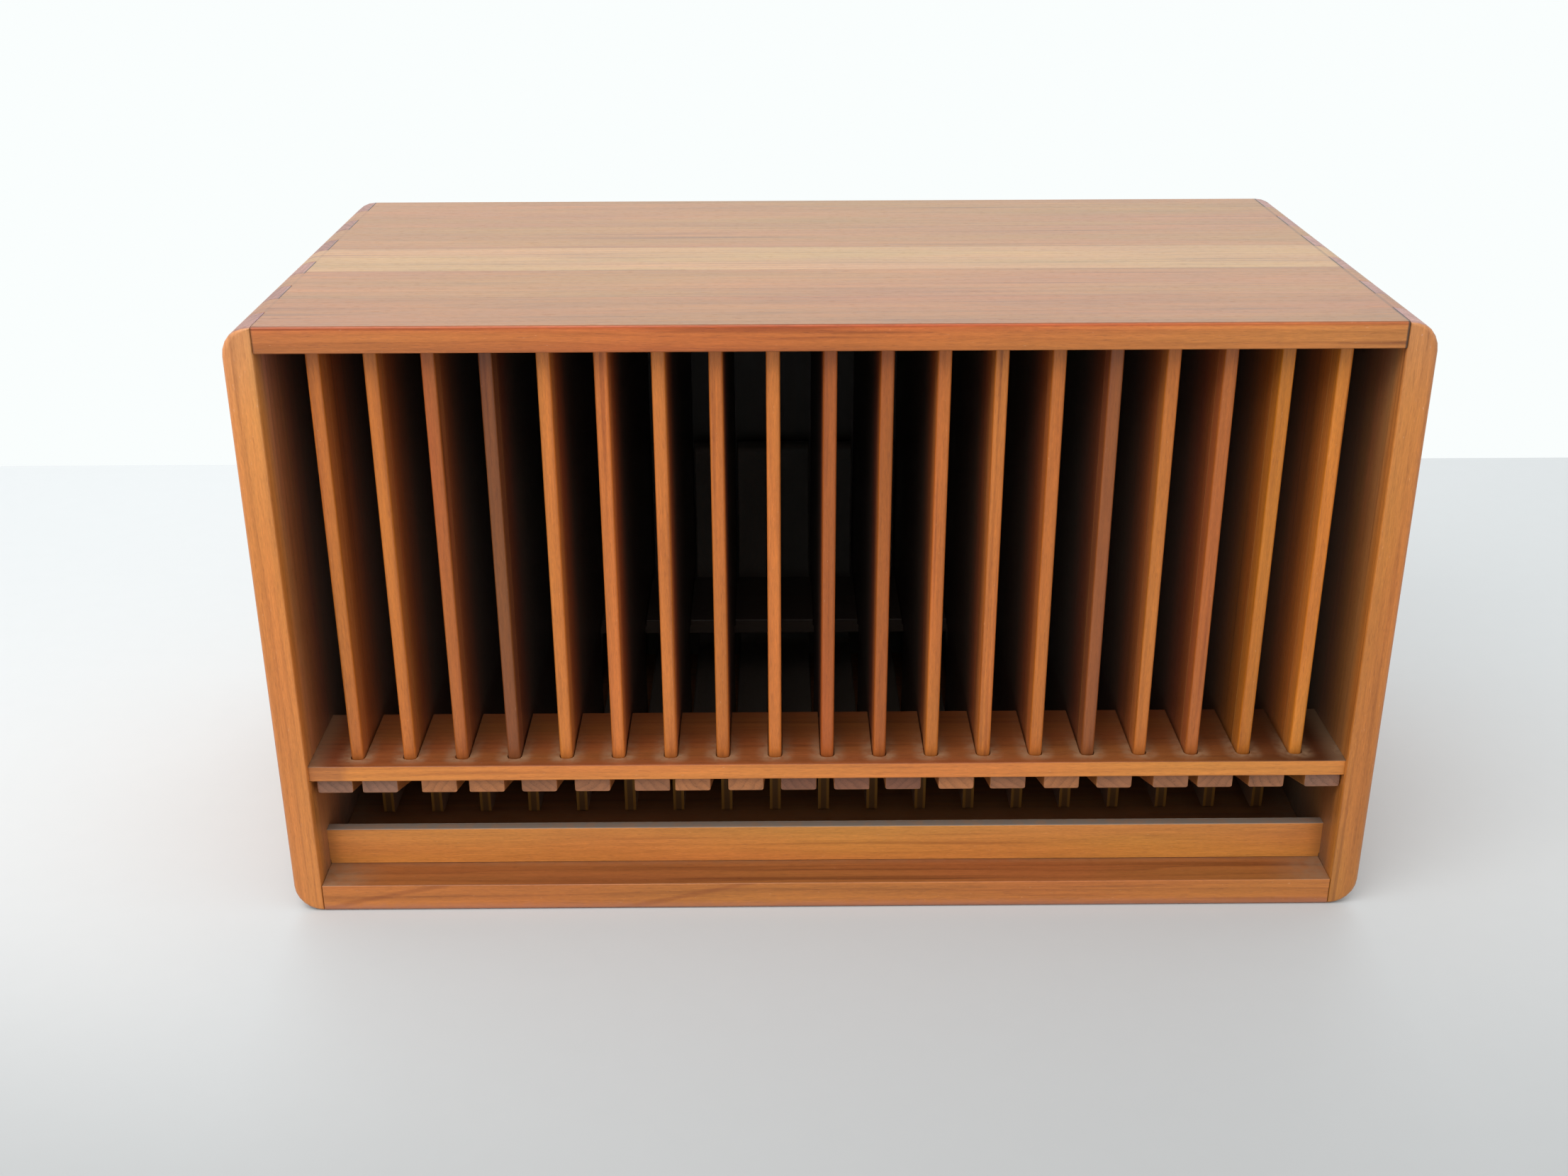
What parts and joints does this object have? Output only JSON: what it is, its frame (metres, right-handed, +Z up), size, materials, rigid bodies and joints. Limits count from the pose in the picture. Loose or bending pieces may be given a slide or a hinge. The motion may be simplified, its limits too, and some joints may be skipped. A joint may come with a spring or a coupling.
{
  "type": "compact disc rack",
  "caption": "Free-standing teak rack with upright slots for disc cases and a row of push-down levers that slide each case out.",
  "frame": {"origin": "middle of the underside, on the surface the rack stands on", "axes": "+X to the right along the row of slots, +Y from the open front to the back panel, +Z up"},
  "size_m": [0.326, 0.165, 0.184],
  "materials": {
    "teak_case": "oiled teak, satin, grain along each board",
    "teak_shelf": "oiled teak, darker, dusty in the corners",
    "teak_divider": "oiled teak lipping glued to a thinner panel, eased front edges",
    "lever_wood": "plain hardwood, dry matt, end grain at the key",
    "back_ply": "thin veneered board, satin",
    "steel_rod": "drawn steel rod",
    "brass_screw": "aged brass, slotted head"
  },
  "bodies": {
    "case": {"left_side_panel": "teak_case", "right_side_panel": "teak_case", "top_panel": "teak_case", "bottom_panel": "teak_case", "back_panel": "back_ply", "front_shelf": "teak_shelf", "rear_shelf": "teak_shelf", "front_rail": "teak_case", "pivot_rod": "steel_rod", "divider_01": "teak_divider", "divider_02": "teak_divider", "divider_03": "teak_divider", "divider_04": "teak_divider", "divider_05": "teak_divider", "divider_06": "teak_divider", "divider_07": "teak_divider", "divider_08": "teak_divider", "divider_09": "teak_divider", "divider_10": "teak_divider", "divider_11": "teak_divider", "divider_12": "teak_divider", "divider_13": "teak_divider", "divider_14": "teak_divider", "divider_15": "teak_divider", "divider_16": "teak_divider", "divider_17": "teak_divider", "divider_18": "teak_divider", "divider_19": "teak_divider", "back_screw_01": "brass_screw", "back_screw_02": "brass_screw", "back_screw_03": "brass_screw", "back_screw_04": "brass_screw", "back_screw_05": "brass_screw", "back_screw_06": "brass_screw", "back_screw_07": "brass_screw", "back_screw_08": "brass_screw"},
    "lever_01_body": {"lever_01": "lever_wood"},
    "lever_02_body": {"lever_02": "lever_wood"},
    "lever_03_body": {"lever_03": "lever_wood"},
    "lever_04_body": {"lever_04": "lever_wood"},
    "lever_05_body": {"lever_05": "lever_wood"},
    "lever_06_body": {"lever_06": "lever_wood"},
    "lever_07_body": {"lever_07": "lever_wood"},
    "lever_08_body": {"lever_08": "lever_wood"},
    "lever_09_body": {"lever_09": "lever_wood"},
    "lever_10_body": {"lever_10": "lever_wood"},
    "lever_11_body": {"lever_11": "lever_wood"},
    "lever_12_body": {"lever_12": "lever_wood"},
    "lever_13_body": {"lever_13": "lever_wood"},
    "lever_14_body": {"lever_14": "lever_wood"},
    "lever_15_body": {"lever_15": "lever_wood"},
    "lever_16_body": {"lever_16": "lever_wood"},
    "lever_17_body": {"lever_17": "lever_wood"},
    "lever_18_body": {"lever_18": "lever_wood"},
    "lever_19_body": {"lever_19": "lever_wood"},
    "lever_20_body": {"lever_20": "lever_wood"}
  },
  "joints": [
    {"name": "press_01", "type": "hinge", "parent": "case", "child": "lever_01_body", "pos_m": [-0.14842, -0.0205, 0.0244], "axis": [1, 0, 0], "range_deg": [0, 16.5]},
    {"name": "press_02", "type": "hinge", "parent": "case", "child": "lever_02_body", "pos_m": [-0.1328, -0.0205, 0.0244], "axis": [1, 0, 0], "range_deg": [0, 16.5]},
    {"name": "press_03", "type": "hinge", "parent": "case", "child": "lever_03_body", "pos_m": [-0.11718, -0.0205, 0.0244], "axis": [1, 0, 0], "range_deg": [0, 16.5]},
    {"name": "press_04", "type": "hinge", "parent": "case", "child": "lever_04_body", "pos_m": [-0.10155, -0.0205, 0.0244], "axis": [1, 0, 0], "range_deg": [0, 16.5]},
    {"name": "press_05", "type": "hinge", "parent": "case", "child": "lever_05_body", "pos_m": [-0.08593, -0.0205, 0.0244], "axis": [1, 0, 0], "range_deg": [0, 16.5]},
    {"name": "press_06", "type": "hinge", "parent": "case", "child": "lever_06_body", "pos_m": [-0.07031, -0.0205, 0.0244], "axis": [1, 0, 0], "range_deg": [0, 16.5]},
    {"name": "press_07", "type": "hinge", "parent": "case", "child": "lever_07_body", "pos_m": [-0.05468, -0.0205, 0.0244], "axis": [1, 0, 0], "range_deg": [0, 16.5]},
    {"name": "press_08", "type": "hinge", "parent": "case", "child": "lever_08_body", "pos_m": [-0.03906, -0.0205, 0.0244], "axis": [1, 0, 0], "range_deg": [0, 16.5]},
    {"name": "press_09", "type": "hinge", "parent": "case", "child": "lever_09_body", "pos_m": [-0.02344, -0.0205, 0.0244], "axis": [1, 0, 0], "range_deg": [0, 16.5]},
    {"name": "press_10", "type": "hinge", "parent": "case", "child": "lever_10_body", "pos_m": [-0.00781, -0.0205, 0.0244], "axis": [1, 0, 0], "range_deg": [0, 16.5]},
    {"name": "press_11", "type": "hinge", "parent": "case", "child": "lever_11_body", "pos_m": [0.00781, -0.0205, 0.0244], "axis": [1, 0, 0], "range_deg": [0, 16.5]},
    {"name": "press_12", "type": "hinge", "parent": "case", "child": "lever_12_body", "pos_m": [0.02344, -0.0205, 0.0244], "axis": [1, 0, 0], "range_deg": [0, 16.5]},
    {"name": "press_13", "type": "hinge", "parent": "case", "child": "lever_13_body", "pos_m": [0.03906, -0.0205, 0.0244], "axis": [1, 0, 0], "range_deg": [0, 16.5]},
    {"name": "press_14", "type": "hinge", "parent": "case", "child": "lever_14_body", "pos_m": [0.05468, -0.0205, 0.0244], "axis": [1, 0, 0], "range_deg": [0, 16.5]},
    {"name": "press_15", "type": "hinge", "parent": "case", "child": "lever_15_body", "pos_m": [0.07031, -0.0205, 0.0244], "axis": [1, 0, 0], "range_deg": [0, 16.5]},
    {"name": "press_16", "type": "hinge", "parent": "case", "child": "lever_16_body", "pos_m": [0.08593, -0.0205, 0.0244], "axis": [1, 0, 0], "range_deg": [0, 16.5]},
    {"name": "press_17", "type": "hinge", "parent": "case", "child": "lever_17_body", "pos_m": [0.10155, -0.0205, 0.0244], "axis": [1, 0, 0], "range_deg": [0, 16.5]},
    {"name": "press_18", "type": "hinge", "parent": "case", "child": "lever_18_body", "pos_m": [0.11718, -0.0205, 0.0244], "axis": [1, 0, 0], "range_deg": [0, 16.5]},
    {"name": "press_19", "type": "hinge", "parent": "case", "child": "lever_19_body", "pos_m": [0.1328, -0.0205, 0.0244], "axis": [1, 0, 0], "range_deg": [0, 16.5]},
    {"name": "press_20", "type": "hinge", "parent": "case", "child": "lever_20_body", "pos_m": [0.14842, -0.0205, 0.0244], "axis": [1, 0, 0], "range_deg": [0, 16.5]}
  ]
}
